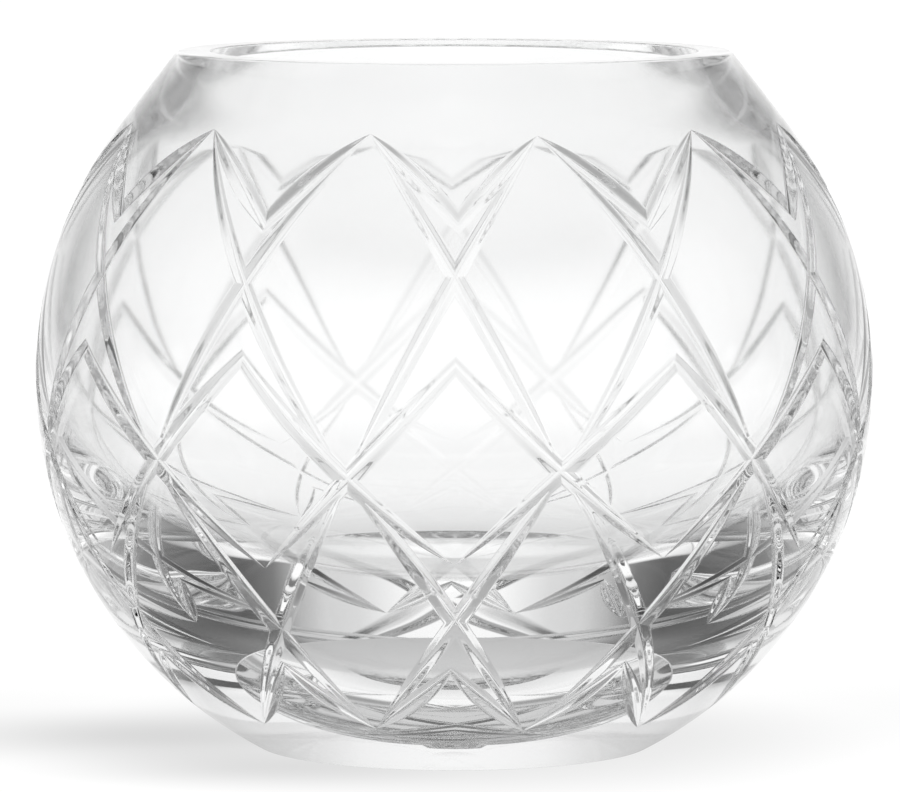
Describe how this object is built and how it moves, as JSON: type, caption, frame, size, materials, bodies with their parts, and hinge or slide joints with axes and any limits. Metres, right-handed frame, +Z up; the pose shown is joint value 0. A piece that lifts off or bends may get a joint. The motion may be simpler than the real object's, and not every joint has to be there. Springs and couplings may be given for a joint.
{
  "type": "rose bowl vase",
  "caption": "Round rose bowl vase of thick clear glass, a cut sphere with a flat foot, an open mouth with a flat polished rim, and diamond mitre cuts around the outside.",
  "frame": {"origin": "centre of the flat foot, on the surface that the bowl stands on", "axes": "+Z up along the bowl's axis of revolution; the pictured side faces -Y, with a valley of the cut pattern at the middle of that side"},
  "size_m": [0.178, 0.178, 0.148],
  "materials": {
    "clear_crystal": "polished clear crystal, colourless, with polished mitre cuts"
  },
  "bodies": {
    "root": {"glass_bowl": "clear_crystal"}
  },
  "joints": []
}
